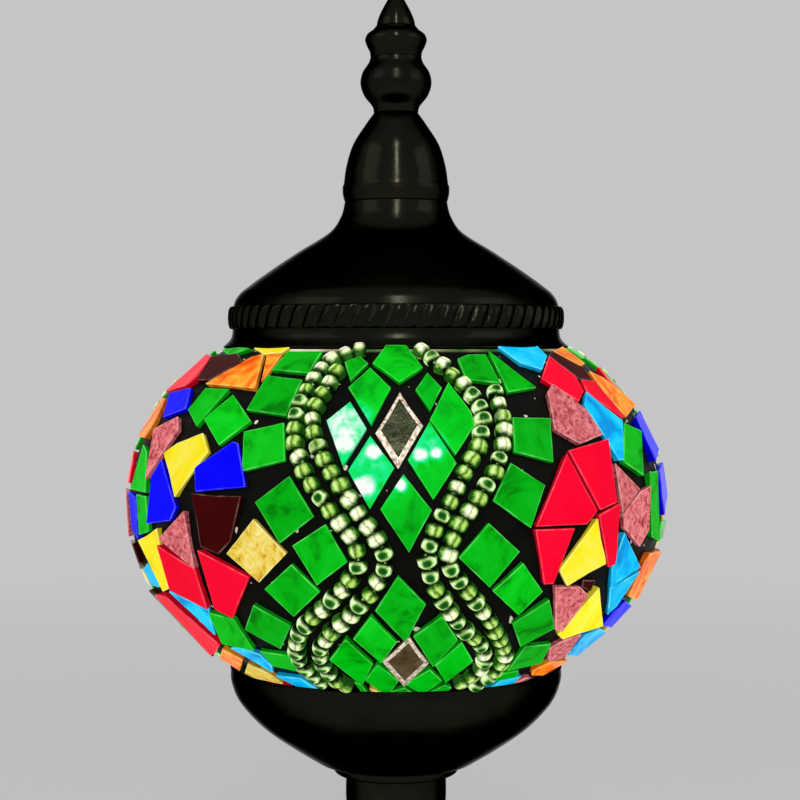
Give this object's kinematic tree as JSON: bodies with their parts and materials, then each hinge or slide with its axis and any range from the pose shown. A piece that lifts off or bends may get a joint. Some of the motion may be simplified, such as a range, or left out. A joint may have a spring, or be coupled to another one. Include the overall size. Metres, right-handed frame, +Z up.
{
  "type": "mosaic glass table lamp",
  "caption": "Table lamp with a flattened glass globe covered in stained-glass mosaic and beads, a lift-off pointed cap, a spun cup, a turned stem and a domed foot.",
  "frame": {"origin": "centre of the foot's underside, on the lamp's axis", "axes": "+Z up along the lamp's axis to the finial; -Y is the front, with the middle of one hourglass motif; +X is the lamp's right seen from the front"},
  "size_m": [0.1619, 0.1627, 0.3479],
  "materials": {
    "dark_bronze": "near-black bronze lacquer, glossy",
    "polished_bronze": "near-black bronze lacquer, polished",
    "plated_steel": "zinc plated",
    "felt": "black felt",
    "black_plastic": "satin",
    "white_ceramic": "satin",
    "brass": "satin",
    "nickel": "plated",
    "black_glass": "glossy",
    "bulb_clear_glass": "clear",
    "filament": "glowing",
    "clear_glass": "clear",
    "grout": "fine black grout, matte",
    "bead_glass": "clear pale green, polished",
    "mirror": "polished",
    "green_glass": "stained glass, lit from inside",
    "red_glass": "stained glass, lit from inside",
    "dark_red_glass": "stained glass, lit from inside",
    "blue_glass": "stained glass, lit from inside",
    "cyan_glass": "stained glass, lit from inside",
    "yellow_glass": "stained glass, lit from inside",
    "amber_glass": "stained glass, lit from inside",
    "orange_glass": "stained glass, lit from inside",
    "mauve_glass": "stained glass, lit from inside"
  },
  "bodies": {
    "stand": {"amber_tiles": "amber_glass", "blue_tiles": "blue_glass", "bottom_nut": "plated_steel", "bottom_plate": "plated_steel", "cord_grommet": "black_plastic", "cup_nut": "plated_steel", "cup_washer": "plated_steel", "cyan_tiles": "cyan_glass", "dark_red_tiles": "dark_red_glass", "felt_pad": "felt", "foot_dome": "dark_bronze", "foot_rope_band": "dark_bronze", "glass_globe": "clear_glass", "globe_cup": "dark_bronze", "globe_gasket": "felt", "green_tiles": "green_glass", "grout_bed": "grout", "lock_washer": "plated_steel", "lower_collar": "dark_bronze", "mauve_tiles": "mauve_glass", "mirror_tiles": "mirror", "orange_tiles": "orange_glass", "red_tiles": "red_glass", "seed_beads": "bead_glass", "socket_body": "black_plastic", "socket_contact": "brass", "socket_insulator": "white_ceramic", "socket_screw_shell": "brass", "stem_column": "dark_bronze", "stem_knop": "dark_bronze", "terminal_screws": "plated_steel", "threaded_tube": "plated_steel", "upper_collar": "polished_bronze", "yellow_tiles": "yellow_glass"},
    "shade_ring": {"shade_ring": "black_plastic"},
    "bulb": {"bulb_contact": "nickel", "bulb_filament": "filament", "bulb_glass": "bulb_clear_glass", "bulb_insulator": "black_glass", "bulb_screw_cap": "nickel", "bulb_stem": "bulb_clear_glass"},
    "cap": {"cap_dome": "dark_bronze", "cap_rope_band": "dark_bronze", "cap_inner_collar": "plated_steel", "cap_washer": "plated_steel", "cap_nut": "plated_steel", "finial_rod": "plated_steel", "finial_bell": "dark_bronze", "finial_ball": "dark_bronze", "finial_ring": "dark_bronze"},
    "finial_tip": {"finial_tip": "dark_bronze"}
  },
  "joints": [
    {"name": "cap_lift", "type": "slide", "parent": "stand", "child": "cap", "axis": [0, 0, 1], "range_m": [0, 0.12]},
    {"name": "finial_turn", "type": "hinge", "parent": "cap", "child": "finial_tip", "pos_m": [0, 0, 0.34], "axis": [0, 0, 1], "range_deg": [0, 1440]},
    {"name": "bulb_turn", "type": "hinge", "parent": "stand", "child": "bulb", "pos_m": [0, 0, 0.16], "axis": [0, 0, 1], "range_deg": [0, 1080]},
    {"name": "shade_ring_turn", "type": "hinge", "parent": "stand", "child": "shade_ring", "pos_m": [0, 0, 0.1475], "axis": [0, 0, 1], "range_deg": [0, 720]}
  ]
}
